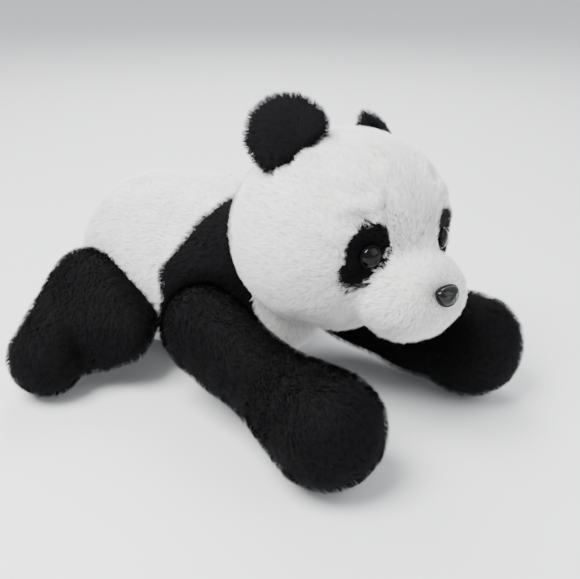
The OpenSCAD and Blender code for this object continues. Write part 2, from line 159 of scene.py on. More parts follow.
def area_light(name, where, size, power, colour=(1, 1, 1)):
    data = bpy.data.lights.new(name, "AREA")
    data.size, data.energy, data.color = size, power, colour
    light = bpy.data.objects.new(name, data)
    light.location = where
    light.rotation_euler = (look_at - Vector(where)).to_track_quat("-Z", "Y").to_euler()
    scene.collection.objects.link(light)


area_light("key", (0.1, -0.95, 1.5), 0.9, 84)
area_light("fill", (1.5, 0.4, 0.9), 1.4, 14, (0.96, 0.98, 1.0))
area_light("back", (-0.9, 1.0, 1.4), 1.0, 40)

camera_angle, camera_height, camera_distance = math.radians(44), math.radians(23), 0.913
camera_data = bpy.data.cameras.new("camera")
camera_data.lens = 56.7
camera_data.shift_x, camera_data.shift_y = 0.057, -0.006
camera = bpy.data.objects.new("camera", camera_data)
outwards = Vector((math.sin(camera_angle) * math.cos(camera_height),
                   -math.cos(camera_angle) * math.cos(camera_height), math.sin(camera_height)))
camera.location = look_at + outwards * camera_distance
camera.rotation_euler = (-outwards).to_track_quat("-Z", "Y").to_euler()
scene.collection.objects.link(camera)
scene.camera = camera
print("camera at", np.round(camera.location, 3))

# %% [markdown]
# ## Stuffed covers
# A plush part is a cover sewn from flat panels and pushed full of fibre, so it swells between its
# seams. The CAD solid gives its size. A copy of it is turned into one even skin with a voxel
# remesh, drawn in a little, and blown up by cloth simulation with pressure and no gravity. That is
# closer to how the real toy gets its shape than moving points by hand, and it keeps the part
# closed. How far a point may move is capped, so the part keeps its size.

# %% Helpers that read, write and shape a mesh
def read(items, attribute):
    """One vector for each vertex or face of a mesh, as rows of an array."""
    out = np.empty(len(items) * 3, np.float32)
    items.foreach_get(attribute, out)
    return out.reshape(-1, 3).astype(float)


def points(obj):
    return read(obj.data.vertices, "co")


def set_points(obj, co):
    obj.data.vertices.foreach_set("co", np.asarray(co, np.float32).ravel())
    obj.data.update()


def normals(obj):
    return read(obj.data.vertex_normals, "vector")


def apply_modifier(obj, kind, **settings):
    modifier = obj.modifiers.new(kind.lower(), kind)
    for key, value in settings.items():
        setattr(modifier, key, value)
    use(obj)
    bpy.ops.object.modifier_apply(modifier=modifier.name)


def copy_of(name, *nodes):
    """One mesh made of copies of CAD nodes, with its doubles merged."""
    bm = bmesh.new()
    for node in nodes:
        bm.from_mesh(frame["nodes"][node].data)
    bmesh.ops.remove_doubles(bm, verts=bm.verts, dist=0.02 * MM)
    mesh = bpy.data.meshes.new(name)
    bm.to_mesh(mesh)
    bm.free()
    mesh.materials.clear()
    obj = bpy.data.objects.new(name, mesh)
    scene.collection.objects.link(obj)
    return obj


def twin(obj, name):
    """A copy of an object with a mesh of its own."""
    copy = obj.copy()
    copy.data = obj.data.copy()
    copy.name = name
    scene.collection.objects.link(copy)
    return copy


def dress(piece, material, body_name, slot_name, *nodes):
    """Gives a piece its material and the body it rides on, and hides the CAD nodes it replaces; slot_name
    is not used.
    """
    piece.data.materials.append(material)
    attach(piece, body_name)
    if nodes:
        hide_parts(*nodes)


def wrap(obj):
    """Replaces a mesh with the tight closed skin round it."""
    use(obj)
    bpy.ops.object.mode_set(mode="EDIT")
    bpy.ops.mesh.select_all(action="SELECT")
    bpy.ops.mesh.convex_hull(delete_unused=True, use_existing_faces=False)
    bpy.ops.object.mode_set(mode="OBJECT")
    return obj


def join(name, *parts):
    use(parts[0])
    for part in parts[1:]:
        part.select_set(True)
    bpy.ops.object.join()
    parts[0].name = name
    return parts[0]


def biggest_part(obj):
    """Keeps only the outer skin, if a remesh left a loose shell inside."""
    bm = bmesh.new()
    bm.from_mesh(obj.data)
    groups, seen = [], set()
    for start in bm.verts:
        if start in seen:
            continue
        group = [start]
        seen.add(start)
        for v in group:
            new = {edge.other_vert(v) for edge in v.link_edges} - seen
            seen |= new
            group += new
        groups.append(group)
    groups.sort(key=len, reverse=True)
    spare = [v for group in groups[1:] for v in group]
    bmesh.ops.delete(bm, geom=spare, context="VERTS")
    bm.to_mesh(obj.data)
    bm.free()


def even_skin(obj, cell, inset):
    """One even closed skin of quads, drawn in by inset."""
    apply_modifier(obj, "REMESH", mode="VOXEL", voxel_size=cell)
    biggest_part(obj)
    apply_modifier(obj, "SMOOTH", factor=0.5, iterations=3)
    set_points(obj, points(obj) - normals(obj) * inset)
    return obj


def blow_up(parts, cap, frames=20):
    """Swells closed skins with pressure, all in one run, and caps how far a point may move."""
    rest = {part.name: points(part) for part in parts}
    for part in parts:
        cloth = part.modifiers.new("cloth", "CLOTH")
        cloth.settings.use_pressure = True
        cloth.settings.uniform_pressure_force = 4
        cloth.settings.effector_weights.gravity = 0
        cloth.point_cache.frame_end = frames
    for number in range(1, frames + 1):
        scene.frame_set(number)
    for part in parts:
        use(part)
        bpy.ops.object.modifier_apply(modifier="cloth")
        moved = points(part) - rest[part.name]
        far = np.linalg.norm(moved, axis=1, keepdims=True)
        set_points(part, rest[part.name] + moved * np.minimum(1, cap / np.maximum(far, 1e-9)))
        print(part.name, "swelled by", round(float(np.minimum(far, cap).mean()) / MM, 2), "mm on average")
    scene.frame_set(1)


def soft_step(x, start, end):
    t = np.clip((x - start) / (end - start), 0, 1)
    return t * t * (3 - 2 * t)


# %% [markdown]
# The body, the head with its muzzle, the limbs, the ears and the tail are each one stuffed bag on
# the real toy. The body and the head start from the tight skin round their panels, because the
# hollows that the limbs turn in don't exist on a sewn toy.

# %% One skin for each stuffed bag
SIGNS = {"right": -1, "left": 1}
SIDES = tuple(SIGNS)
CELL = 5 * MM
INSET = 6 * MM

body_nodes = ["body_side_right", "body_side_left", "belly_panel", "yoke_right", "yoke_left",
              "throat_panel"]
skull_nodes = ["head_side_right", "head_side_left", "head_gusset", "chin_panel"]
body = even_skin(wrap(copy_of("torso_skin", *body_nodes)), CELL, INSET)
skull = wrap(copy_of("skull", *skull_nodes))
snout = wrap(copy_of("snout", "muzzle_cover_right", "muzzle_cover_left"))
head = even_skin(join("head_skin", skull, snout), CELL * 0.8, INSET)
limbs, ears = {}, {}
for side in SIDES:
    for limb, nodes in (("arm", ("arm_top_", "arm_under_", "arm_filling_", "paw_pellet_bag_")),
                        ("leg", ("leg_front_", "leg_back_", "foot_sole_", "leg_filling_",
                                 "foot_pellet_bag_"))):
        own = copy_of(f"{limb}_skin_{side}", *(n + side for n in nodes))
        limbs[f"{limb}_{side}"] = even_skin(own, CELL, INSET)
    ears[side] = even_skin(wrap(copy_of("ear_skin_" + side, "ear_front_" + side,
        "ear_back_" + side)), CELL * 0.6, INSET * 0.4)
tail = even_skin(copy_of("tail_skin", "tail_cover", "tail_filling"), CELL * 0.6, INSET * 0.4)

blow_up([body, head, *limbs.values()], cap=3.5 * MM)
skins = {"torso": body, "head": head, **limbs, "tail": tail}
skins.update({"ear_" + side: ears[side] for side in SIDES})
for name, skin in skins.items():
    apply_modifier(skin, "SUBSURF", levels=1, render_levels=1)
    print(name, len(skin.data.polygons), "faces")

# %% [markdown]
# ## Folds and hollows
# A sewn head isn't a smooth ball. The stitches behind the eyes pull the face in, the cheeks fold
# against the muzzle, and the cloth creases where darts and seams end. These dents are wider than
# the skin's cells, so they are pressed in after the swelling, by moving points along a line with a
# soft edge.

# %% Press folds into a skin
def far_from(co, line):
    """How far points are from a line that runs through some places."""
    near = np.full(len(co), 1e9)
    for a, b in zip(line[:-1], line[1:]):
        a, b = np.asarray(a, float), np.asarray(b, float)
        t = np.clip(((co - a) @ (b - a)) / ((b - a) @ (b - a)), 0, 1)
        near = np.minimum(near, np.linalg.norm(co - a - t[:, None] * (b - a), axis=1))
    return near


def press(skin, line, depth, width, bulge=0.0):
    """Pushes a skin in along a line of points, and may lift the cloth on both sides of it."""
    co, out = points(skin), normals(skin)
    r = far_from(co, line) / (width * MM)
    move = -depth * np.exp(-r ** 2) + bulge * np.exp(-((r - 2.0) ** 2) / 0.8)
    set_points(skin, co + out * (move * MM)[:, None])


def rest_on_floor(skin, lowest=2.0 * MM):
    """Flattens a skin softly where it lies on the ground."""
    co = points(skin)
    low = lowest + 6 * MM
    z = co[:, 2]
    co[:, 2] = np.where(z < low, lowest + (low - lowest) * np.exp((z - low) / (low - lowest)), z)
    set_points(skin, co)

# %% [markdown]
# The chest of the real toy swells forwards under the chin and up against the back of the head,
# because the neck is one wide opening stuffed from inside. So the skin of the shoulders is drawn
# towards the head until it nearly touches, and the chest gets a round bulge. The thighs are flat
# and wide where they join the body, as the weight of the pellets spreads them.

# %% Bring the shoulders to the head, and shape chest and thighs
head_radii = np.array([88, 104, 88]) * MM
COLLAR_GAP, SKIN_GAP = 4.5 * MM, 3.5 * MM
CHEST_BULGE, THIGH_SPREAD = 42 * MM, 62 * MM
FORWARD = np.array([1.0, 0, 0])


def gap_to_head(p):
    """Distance of points from a plain round head, less than 0 inside it, and the way towards it."""
    local = (p - head_mid) @ HEAD.T
    size = np.linalg.norm(local / head_radii, axis=1, keepdims=True)
    onto = head_mid + (local / size) @ HEAD
    sign = np.sign(size - 1)
    return np.linalg.norm(onto - p, axis=1) * sign[:, 0], unit(onto - p) * sign


co = points(body)
gap, way = gap_to_head(co)
near = soft_step(-gap, -34 * MM, -10 * MM) * soft_step(co[:, 0], 66 * MM, 92 * MM)
set_points(body, co + way * (near * np.maximum(gap - COLLAR_GAP, 0))[:, None])

co = points(body)
chest = soft_step(co[:, 0], 60 * MM, 128 * MM) * np.exp(-(co[:, 1] / (66 * MM)) ** 2)
chest *= np.exp(-((co[:, 2] - 58 * MM) / (46 * MM)) ** 2)
set_points(body, co + np.array([1.0, 0, -0.12]) * (chest * CHEST_BULGE)[:, None])
co = points(body)
gap, way = gap_to_head(co)
set_points(body, co + way * np.minimum(gap - SKIN_GAP, 0)[:, None])

for side, s in SIGNS.items():
    leg = limbs["leg_" + side]
    co = points(leg)
    hip = place("hip_" + side)
    forward = soft_step(co[:, 0], hip[0] - 20 * MM, hip[0] + 45 * MM)
    forward *= 0.3 + 0.7 * soft_step(-co[:, 2], -122 * MM, -66 * MM)
    forward *= soft_step(-s * co[:, 1], -168 * MM, -112 * MM)
    set_points(leg, co + FORWARD * (forward * THIGH_SPREAD)[:, None])

# %% [markdown]
# The CAD arms run straight from shoulder to paw. Filled with pellets they sag in the middle, the left
# one more, as it lies further out. The left ear is turned back about its root and stands lower than
# the right one.

# %% Let the arms sag to the floor, and turn the left ear
ARM_SAG = {"right": 9 * MM, "left": 24 * MM}
EAR_TURN, EAR_SHRINK = math.radians(-24), 0.26
EAR_SHIFT = np.array([-7, -6, -6]) * MM

for side, sag in ARM_SAG.items():
    arm = limbs["arm_" + side]
    start, end = place("shoulder_" + side), middle_of("paw_pellet_bag_" + side)
    co = points(arm)
    share = (co - start) @ (end - start) / ((end - start) @ (end - start))
    line = start[2] + (end[2] - start[2]) * np.clip(share, 0, 1)
    sink = soft_step(share, -0.25, 0.3) * soft_step(-share, -0.95, -0.55)
    co[:, 2] -= sink * sag * soft_step(line - co[:, 2], -25 * MM, 30 * MM)
    set_points(arm, co)
co = points(ears["left"])
root = place("ear_fold_left")
turn = np.array(Matrix.Rotation(EAR_TURN, 3, "Z"))
co = (co - root) @ turn.T
ear_up = unit(co.mean(0))
co += ear_up * ((co @ ear_up) * np.where(co @ ear_up > 0, -EAR_SHRINK, 0))[:, None]
set_points(ears["left"], co + root + EAR_SHIFT)

# %% [markdown]
# The head gets the dents that its stitches make: the eyes pulled in, the fold between cheek and
# muzzle, a crease from the ear's seam down to the temple, two soft folds over the brow, and the
# dimple round the nose. The pile parts along such a line, so each line is kept for the combing.

# %% Press the folds into head and flanks
partings = {"head": [], "torso": []}


def fold(name, line, depth, width, bulge=0.0, parted=True):
    press(skins[name], line, depth, width, bulge)
    if parted:
        partings[name].append(line)


HEAD_FOLDS = (  # line on the left, depth, width, bulge, and whether the pile parts there
    ([(82, 50, -16), (74, 56, -34), (65, 56, -56), (56, 47, -74), (44, 30, -86)], 7.5, 7, 1.5, True),
    ([(78, 44, 4), (76, 50, 2)], 3.5, 13, 0.0, False),
    ([(80, 33, -2), (72, 50, -14), (66, 60, -22)], 2.5, 9, 0.0, False),
    ([(-6, 60, 66), (8, 67, 56), (16, 75, 42)], 5.5, 5.5, 2.0, True),
    ([(24, 66, 50), (42, 58, 46), (58, 40, 45)], 4.6, 6, 2.0, True),
    ([(30, 76, 28), (50, 64, 24), (66, 46, 30)], 4.6, 6, 2.0, True))
for s in SIGNS.values():
    for line, *shape in HEAD_FOLDS:
        fold("head", [from_head((x, s * y, z)) for x, y, z in line], *shape)
fold("head", [from_head((18, -30, 84)), from_head((36, -26, 78)), from_head((50, -20, 70))], 3.6, 6, 1.2)
nose_low, nose_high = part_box("nose")
nose_spot = (np.array(nose_low) + np.array(nose_high)) / 2 - head_z * 3 * MM
fold("head", [nose_spot + head_y * 8 * MM, nose_spot - head_y * 8 * MM], 3.0, 11, 0.8, parted=False)
fold("head", [from_head((124, 0, -52)), from_head((116, 0, -72)), from_head((98, 0, -78))], 2.5, 5)

flank = [(-56, 74, 152), (-62, 90, 124), (-60, 94, 98)]
for s in SIGNS.values():
    fold("torso", [np.array((x, s * y, z)) * MM for x, y, z in flank], 3.4, 7, 1.2)
rest_on_floor(body)
for limb in limbs.values():
    rest_on_floor(limb)

# %% [markdown]
# ## Finishes
# All the pile is acrylic fibre. Each strand is painted darker and warmer down at its root, as painted
# shade for where its neighbours shade it, and paler at its thin tip, and no two tufts took the dye
# quite alike. One node group gives these values to the white and to the black pile. It reads the
# strand's own UV strip, where across is chance and up is root to tip.

# %% A node group for the colour of a strand, with painted shade at its root
def new_group(name, inputs, outputs):
    group = bpy.data.node_groups.new(name, "ShaderNodeTree")
    for label, kind, value in inputs:
        socket = group.interface.new_socket(label, in_out="INPUT", socket_type="NodeSocket" + kind)
        socket.default_value = value
    for label, kind in outputs:
        group.interface.new_socket(label, in_out="OUTPUT", socket_type="NodeSocket" + kind)
    return group, group.nodes.new("NodeGroupInput"), group.nodes.new("NodeGroupOutput")


def add(tree, kind, **settings):
    """A new node; the settings are its inputs, with _ for a space, or its own properties."""
    node = tree.nodes.new("ShaderNode" + kind)
    for key, value in settings.items():
        label = key.replace("_", " ")
        if label in node.inputs:
            node.inputs[label].default_value = value
        else:
            setattr(node, key, value)
    return node


def mix(tree, factor, a, b):
    """A colour mix node, linked from these sockets."""
    node = add(tree, "Mix", data_type="RGBA", blend_type="MIX")
    for index, value in ((0, factor), (6, a), (7, b)):
        tree.links.new(value, node.inputs[index])
    return node.outputs[2]


def wire(tree, *pairs):
    """Links each pair of sockets in one node tree."""
    for start, end in pairs:
        tree.links.new(start, end)


def through_group(name, node_group, values, **settings):
    """A material whose shader takes what a node group gives, with these values in the group."""
    material, tree, shader = new_material(name, **settings)
    node = add(tree, "Group", node_tree=node_group)
    for label, value in values.items():
        node.inputs[label].default_value = (*value, 1) if isinstance(value, tuple) else value
    for output in node.outputs:
        tree.links.new(output, shader.inputs["Base Color" if output.name == "Color" else output.name])
    return material


strand_group, strand_in, strand_out = new_group(
    "strand_colour",
    [("Root", "Color", (0.5, 0.5, 0.5, 1)), ("Tip", "Color", (0.9, 0.9, 0.9, 1)),
     ("Odd", "Color", (0.8, 0.8, 0.8, 1)), ("Odd Share", "Float", 0.2)],
    [("Color", "Color"), ("Roughness", "Float")])
strip = add(strand_group, "UVMap", uv_map="OFBake")
parts = add(strand_group, "SeparateXYZ")
rise = add(strand_group, "MapRange", interpolation_type="SMOOTHSTEP", From_Max=0.75)
cells = add(strand_group, "Math", operation="SNAP")
cells.inputs[1].default_value = 0.02
chance_node = add(strand_group, "TexWhiteNoise", noise_dimensions="1D")
odd = add(strand_group, "Math", operation="MULTIPLY")
dull = add(strand_group, "MapRange", To_Min=0.95, To_Max=0.62)
# The root colour is painted shade: a strand is darker at its root, where its neighbours shade it.
painted_root_shade = mix(strand_group, rise.outputs[0], strand_in.outputs["Root"], strand_in.outputs["Tip"])
shade = mix(strand_group, odd.outputs[0], painted_root_shade, strand_in.outputs["Odd"])
wire(strand_group, (strip.outputs[0], parts.inputs[0]), (parts.outputs[1], rise.inputs[0]),
     (parts.outputs[0], cells.inputs[0]), (cells.outputs[0], chance_node.inputs["W"]),
     (chance_node.outputs["Value"], odd.inputs[0]), (strand_in.outputs["Odd Share"], odd.inputs[1]),
     (shade, strand_out.inputs["Color"]), (parts.outputs[1], dull.inputs[0]),
     (dull.outputs[0], strand_out.inputs["Roughness"]))


def strand_material(name, root, tip, odd_colour, share, sheen, tint, specular=0.25):
    values = {"Root": root, "Tip": tip, "Odd": odd_colour, "Odd Share": share}
    return through_group(name, strand_group, values, Sheen_Weight=sheen, Sheen_Roughness=0.4,
                         Sheen_Tint=(*tint, 1), Specular_IOR_Level=specular)


# The darker root colours of both piles are painted shade under the neighbouring strands.
white_pile = strand_material("white_pile", (0.52, 0.505, 0.485), (0.90, 0.897, 0.89),
                             (0.74, 0.73, 0.71), 0.6, 0.15, (1, 1, 1))
black_pile = strand_material("black_pile", (0.0008, 0.0008, 0.0009), (0.0030, 0.0030, 0.0036),
                             (0.0060, 0.0058, 0.0074), 0.5, 0.008, (0.75, 0.8, 1.0), 0.1)

# %% [markdown]
# Under the pile is the backing, where the roots stand so close that it looks like felt. It shows
# only where tufts part, so it gets a fine fibrous bump and the colour of the roots, darkened like
# them as painted shade, with slow cloudy changes where the pile was pressed.

# %% A node group for the felt at the roots
felt_group, felt_in, felt_out = new_group(
    "root_felt",
    [("Deep", "Color", (0.4, 0.4, 0.4, 1)), ("Light", "Color", (0.8, 0.8, 0.8, 1)),
     ("Fibre Size", "Float", 900.0), ("Depth", "Float", 0.0006)],
    [("Color", "Color"), ("Normal", "Vector")])
where = add(felt_group, "TexCoord")
fibres = add(felt_group, "TexNoise", Detail=3.0, Roughness=0.6)
clouds = add(felt_group, "TexNoise", Scale=45.0, Detail=2.0)
bump = add(felt_group, "Bump", Strength=0.7)
blend_share = add(felt_group, "Math", operation="MULTIPLY_ADD")
blend_share.inputs[1].default_value = 0.7
cloud_share = add(felt_group, "Math", operation="MULTIPLY")
cloud_share.inputs[1].default_value = 0.3
felt_colour = mix(felt_group, blend_share.outputs[0], felt_in.outputs["Deep"],
                  felt_in.outputs["Light"])
wire(felt_group, (where.outputs["Object"], fibres.inputs["Vector"]),
     (where.outputs["Object"], clouds.inputs["Vector"]),
     (felt_in.outputs["Fibre Size"], fibres.inputs["Scale"]),
     (fibres.outputs["Fac"], blend_share.inputs[0]), (clouds.outputs["Fac"], cloud_share.inputs[0]),
     (cloud_share.outputs[0], blend_share.inputs[2]), (felt_colour, felt_out.inputs["Color"]),
     (fibres.outputs["Fac"], bump.inputs["Height"]), (felt_in.outputs["Depth"], bump.inputs["Distance"]),
     (bump.outputs["Normal"], felt_out.inputs["Normal"]))


def felt_material(name, deep, light, size=900.0, roughness=0.92, depth=0.0006):
    values = {"Deep": deep, "Light": light, "Fibre Size": size, "Depth": depth}
    return through_group(name, felt_group, values, Roughness=roughness, Specular_IOR_Level=0.2)


# The white backing is darker than the tips, as painted shade under the pile.
white_backing = felt_material("white_backing", (0.50, 0.49, 0.47), (0.72, 0.71, 0.69))
black_backing = felt_material("black_backing", (0.0006, 0.0006, 0.0006), (0.002, 0.002, 0.0025))
stuffing_fibre = felt_material("stuffing_fibre", (0.70, 0.70, 0.69), (0.92, 0.92, 0.91), 400.0)
pellet_cloth = felt_material("pellet_cloth", (0.45, 0.41, 0.33), (0.66, 0.62, 0.52), 1500.0)

# %% [markdown]
# The moulded parts are glossy black plastic. A moulding is never quite even: it has faint flow
# marks, a little dust and hair-fine scratches, which show as changes in the gloss. The nylon loop and
# the washers get the same group with other values; the thread and the label get the felt group with
# fine fibres.

# %% Moulded plastic, nylon, thread and label
gloss_group, gloss_in, gloss_out = new_group(
    "moulding",
    [("Base", "Color", (0, 0, 0, 1)), ("Dust", "Color", (0.1, 0.1, 0.1, 1)),
     ("Smooth", "Float", 0.08), ("Rough", "Float", 0.3)],
    [("Color", "Color"), ("Roughness", "Float"), ("Normal", "Vector")])
spot = add(gloss_group, "TexCoord")
marks = add(gloss_group, "TexNoise", Scale=160.0, Detail=4.0)
stretch = add(gloss_group, "Mapping", Scale=(1, 1, 9))
scratches = add(gloss_group, "TexNoise", Scale=420.0, Detail=2.0)
fine = add(gloss_group, "Bump", Strength=0.12, Distance=0.0003)
dusty = add(gloss_group, "MapRange", From_Min=0.52, From_Max=0.8)
uneven = add(gloss_group, "MapRange", From_Min=0.45, From_Max=0.75)
plastic_colour = mix(gloss_group, dusty.outputs[0], gloss_in.outputs["Base"],
                     gloss_in.outputs["Dust"])
wire(gloss_group, (spot.outputs["Object"], marks.inputs["Vector"]),
     (spot.outputs["Object"], stretch.inputs["Vector"]),
     (stretch.outputs[0], scratches.inputs["Vector"]), (marks.outputs["Fac"], dusty.inputs[0]),
     (scratches.outputs["Fac"], uneven.inputs[0]), (gloss_in.outputs["Smooth"], uneven.inputs["To Min"]),
     (gloss_in.outputs["Rough"], uneven.inputs["To Max"]), (marks.outputs["Fac"], fine.inputs["Height"]),
     (plastic_colour, gloss_out.inputs["Color"]), (uneven.outputs[0], gloss_out.inputs["Roughness"]),
     (fine.outputs["Normal"], gloss_out.inputs["Normal"]))


def moulded(name, base, dust, smooth, rough, specular=0.5):
    values = {"Base": base, "Dust": dust, "Smooth": smooth, "Rough": rough}
    return through_group(name, gloss_group, values, Specular_IOR_Level=specular)


eye_black = moulded("eye_black", (0.0012, 0.0012, 0.0014), (0.004, 0.004, 0.0042), 0.06, 0.16, 0.16)
nose_black = moulded("nose_black", (0.0016, 0.0015, 0.0015), (0.005, 0.005, 0.005), 0.2, 0.34, 0.3)
washer_plastic = moulded("washer_plastic_finish", (0.62, 0.62, 0.60), (0.72, 0.72, 0.70), 0.35, 0.6)
clear_nylon = moulded("clear_nylon_finish", (0.80, 0.80, 0.79), (0.90, 0.90, 0.89), 0.2, 0.4)
thread_white = felt_material("thread_white_finish", (0.60, 0.59, 0.56), (0.88, 0.87, 0.84),
                             2600.0, 0.7, 0.0002)
label_satin = felt_material("label_satin_finish", (0.72, 0.72, 0.70), (0.92, 0.92, 0.90),
                            1800.0, 0.45, 0.0001)

# %% [markdown]
# ## Panels
# Each panel of cloth is its own piece, as it is on the pattern sheet. Every face of a swollen skin
# goes to the CAD panel that lies nearest, the panel is cut out along those lines and gets the
# thickness of the backing, and what is left inside is the stuffing. The line between the black
# yoke and the white back isn't straight on the sewn toy: it slants back along the flanks.

# %% Which panel each face of a skin belongs to
def face_middles(skin, lift=0.0):
    """Middles of the faces, and may be lifted back to where the CAD panel's outside is."""
    return read(skin.data.polygons, "center") + read(skin.data.polygons, "normal") * lift


def nearest_panels(skin, nodes):
    """The name of the nearest of these CAD nodes, for each face of a skin."""
    middles = face_middles(skin, INSET)
    best = np.full(len(middles), 1e9)
    label = np.zeros(len(middles), int)
    for number, node in enumerate(nodes):
        tree = BVHTree.FromObject(frame["nodes"][node], bpy.context.evaluated_depsgraph_get())
        far = np.array([tree.find_nearest(m)[3] for m in middles])
        label[far < best] = number
        best = np.minimum(far, best)
    return np.array(nodes, dtype="U30")[label]


def body_panels(skin):
    """Panels of the body, with the yoke's edge slanting back from the ridge to the flank."""
    m = face_middles(skin) / MM
    low = soft_step(-m[:, 2], -176, -114)
    edge = 69 - 21 * low + 1.5 * np.sin(m[:, 2] / 7)
    black = (m[:, 0] > edge) & (m[:, 2] > 62)
    side = np.where(m[:, 1] > 0, "left", "right")
    under = (m[:, 2] < 40) | ((m[:, 2] < 62) & (m[:, 0] > 100))
    names = np.where(black, np.char.add("yoke_", side), np.char.add("body_side_", side))
    names = np.where(under, np.where(m[:, 0] > 84, "throat_panel", "belly_panel"), names)
    front = (m[:, 0] > 108) & (np.abs(m[:, 1]) < 40) & (m[:, 2] < 110)
    return np.where(front, "throat_panel", names)


# %% Cut a skin into panels, and fill it
BACKING, STUFFING_GAP = 1.8 * MM, 0.7 * MM


def coarser(skin, share=0.4):
    """A copy of a skin with fewer faces, for the cloth under the pile."""
    plain = twin(skin, skin.name + "_plain")
    apply_modifier(plain, "DECIMATE", ratio=share)
    return plain


def cut_panels(skin, choose, body_name, colours):
    """One closed panel for each label, as thick as the backing."""
    skin = coarser(skin)
    labels = choose(skin)
    for node in sorted(set(labels)):
        panel = twin(skin, node + "_cloth")
        bm = bmesh.new()
        bm.from_mesh(panel.data)
        spare = [f for f, label in zip(bm.faces, labels) if label != node]
        bmesh.ops.delete(bm, geom=spare, context="FACES")
        bm.to_mesh(panel.data)
        bm.free()
        apply_modifier(panel, "SOLIDIFY", thickness=BACKING, offset=-1)
        bpy.ops.object.shade_smooth()
        material, slot = colours(node)
        dress(panel, material, body_name, slot, node)
        print(panel.name, len(panel.data.polygons), "faces")
    bpy.data.objects.remove(skin, do_unlink=True)


def fill(skin, name, body_name, nodes):
    """The stuffing inside a cover: the same skin drawn in below the backing."""
    stuffing = twin(skin, name)
    set_points(stuffing, points(stuffing) - normals(stuffing) * (BACKING + STUFFING_GAP))
    apply_modifier(stuffing, "DECIMATE", decimate_type="UNSUBDIV", iterations=2)
    use(stuffing)
    bpy.ops.object.shade_smooth()
    dress(stuffing, stuffing_fibre, body_name, "fibre_filling", *nodes)
    print(name, len(stuffing.data.polygons), "faces")

# %% Panels and stuffing of each part
def black_or_white(node):
    dark = node.startswith(("yoke", "eye_patch", "ear", "arm", "leg", "foot"))
    return (black_backing, "black_plush") if dark else (white_backing, "white_plush")


HEAD_NODES = skull_nodes + ["muzzle_cover_right", "muzzle_cover_left", "eye_patch_right",
                            "eye_patch_left"]
PATCH_DISC = 19 * MM
body_labels = body_panels(body)


def head_panels(skin):
    """Panels of the head; the cloth behind an eye belongs to its patch."""
    names = nearest_panels(skin, HEAD_NODES)
    middles = face_middles(skin)
    for side in SIDES:
        far = np.linalg.norm(middles - middle_of("eye_" + side), axis=1)
        names[far < PATCH_DISC] = "eye_patch_" + side
    return names


head_labels = head_panels(head)
cut_panels(body, body_panels, "torso", black_or_white)
cut_panels(head, head_panels, "head", black_or_white)
fill(body, "torso_stuffing", "torso", ["torso_filling"])
fill(head, "head_stuffing", "head", ["head_filling", "muzzle_filling"])
for side in SIDES:
    for limb, nodes in (("arm", ["arm_top_", "arm_under_"]),
                        ("leg", ["leg_front_", "leg_back_", "foot_sole_"])):
        skin, own = limbs[f"{limb}_{side}"], [n + side for n in nodes]
        cut_panels(skin, lambda skin: nearest_panels(skin, own), f"{limb}_{side}", black_or_white)
        fill(skin, f"{limb}_stuffing_{side}", f"{limb}_{side}", [f"{limb}_filling_{side}"])
    own = ["ear_front_" + side, "ear_back_" + side]
    cut_panels(ears[side], lambda skin: nearest_panels(skin, own), "ear_" + side, black_or_white)
cut_panels(tail, lambda skin: np.full(len(skin.data.polygons), "tail_cover"), "tail", black_or_white)
fill(tail, "tail_stuffing", "tail", ["tail_filling"])

# %% [markdown]
# ## Eyes and nose
# Such a toy has moulded safety eyes: a shallow black dome on a thin rim, with a shank behind that
# a washer locks on. The nose is moulded the same way, a rounded triangle. Both start as a short
# cylinder whose front is inset for the rim and then extruded and narrowed, ring by ring, along a
# quarter of an ellipse. A lathe or a squashed sphere would give the dome, but not the step of the
# rim, which catches the light.

# %% Domes with a rim, made ring by ring
def select_faces(obj, test):
    """Selects the faces whose middle and normal pass a test, in edit mode."""
    bm = bmesh.from_edit_mesh(obj.data)
    bm.select_mode = {"FACE"}
    for face in bm.faces:
        face.select_set(test(face.calc_center_median(), face.normal))
    bm.select_flush_mode()
    bmesh.update_edit_mesh(obj.data)


SHANK, BEVEL = 15 * MM, 0.25 * MM
WASHER_RADIUS, WASHER_THICK = 10 * MM, 2 * MM


def extrude(height, narrow=(1, 1), middle=(0, 0, 0)):
    bpy.ops.mesh.extrude_region_move(TRANSFORM_OT_translate={"value": (0, 0, height)})
    bpy.ops.transform.resize(value=(*narrow, 1), center_override=middle)


def dome(name, radius, rim, height, flange, rings=7, outline=None):
    """A rimmed dome that looks along +Z, with its flange from 0 up and a shank below."""
    clear_selection()
    bpy.ops.mesh.primitive_cylinder_add(vertices=48, radius=radius, depth=flange,
                                        location=(0, 0, flange / 2))
    obj = bpy.context.object
    obj.name = name
    bpy.ops.object.transform_apply()
    if outline:
        set_points(obj, outline(points(obj)))
    narrow = np.abs(points(obj)[:, :2]).max(0).min()
    bpy.ops.object.mode_set(mode="EDIT")
    select_faces(obj, lambda middle, normal: normal.z > 0.9)
    bpy.ops.mesh.inset(thickness=rim)
    extrude(-0.25 * flange)
    size = 1.0
    for ring in range(1, rings + 1):
        angle = ring / (rings + 0.35) * math.pi / 2
        rise = math.sin(angle) - math.sin((ring - 1) / (rings + 0.35) * math.pi / 2)
        extrude(height * rise, (math.cos(angle) / size,) * 2)
        size = math.cos(angle)
    bpy.ops.mesh.select_mode(type="FACE")
    select_faces(obj, lambda middle, normal: normal.z < -0.9)
    bpy.ops.mesh.inset(thickness=0.7 * narrow)
    extrude(-SHANK)
    bpy.ops.mesh.select_all(action="SELECT")
    bpy.ops.mesh.normals_make_consistent(inside=False)
    bpy.ops.object.mode_set(mode="OBJECT")
    apply_modifier(obj, "BEVEL", width=BEVEL, segments=2, limit_method="ANGLE",
                   angle_limit=math.radians(40))
    apply_modifier(obj, "SUBSURF", levels=1, render_levels=1)
    use(obj)
    bpy.ops.object.shade_smooth_by_angle(angle=math.radians(35))
    return obj


